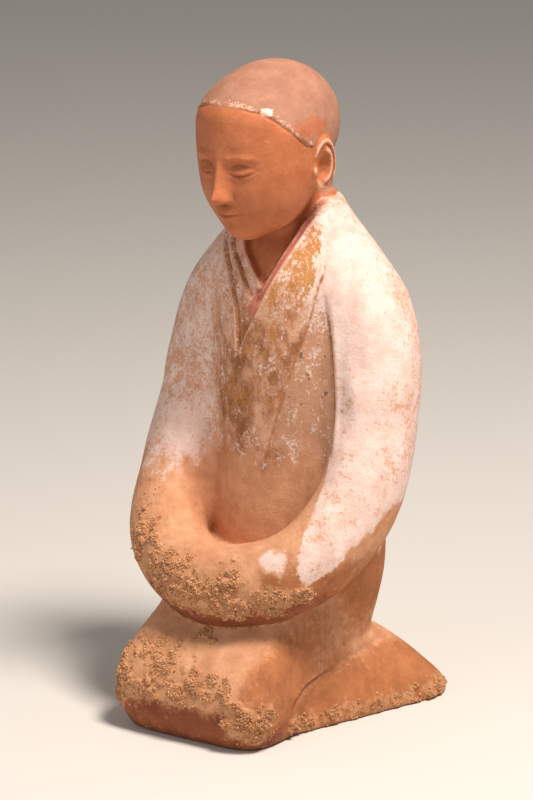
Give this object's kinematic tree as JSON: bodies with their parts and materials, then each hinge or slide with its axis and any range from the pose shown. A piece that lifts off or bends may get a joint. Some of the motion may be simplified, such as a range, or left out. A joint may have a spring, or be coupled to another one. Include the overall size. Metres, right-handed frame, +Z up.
{
  "type": "terracotta kneeling attendant statue",
  "caption": "Fired clay statue of a robed attendant kneeling on its heels, head bowed, hands joined inside long sleeves.",
  "frame": {"origin": "on the ground under the middle of the figure's box", "axes": "+Z up, the figure faces -Y and its left side is +X"},
  "size_m": [0.1774, 0.1802, 0.3774],
  "materials": {
    "terracotta": "matt fired clay with worn white slip, traces of red and ochre pigment and a granular soil crust"
  },
  "bodies": {
    "root": {"kneeling_figure": "terracotta"}
  },
  "joints": []
}
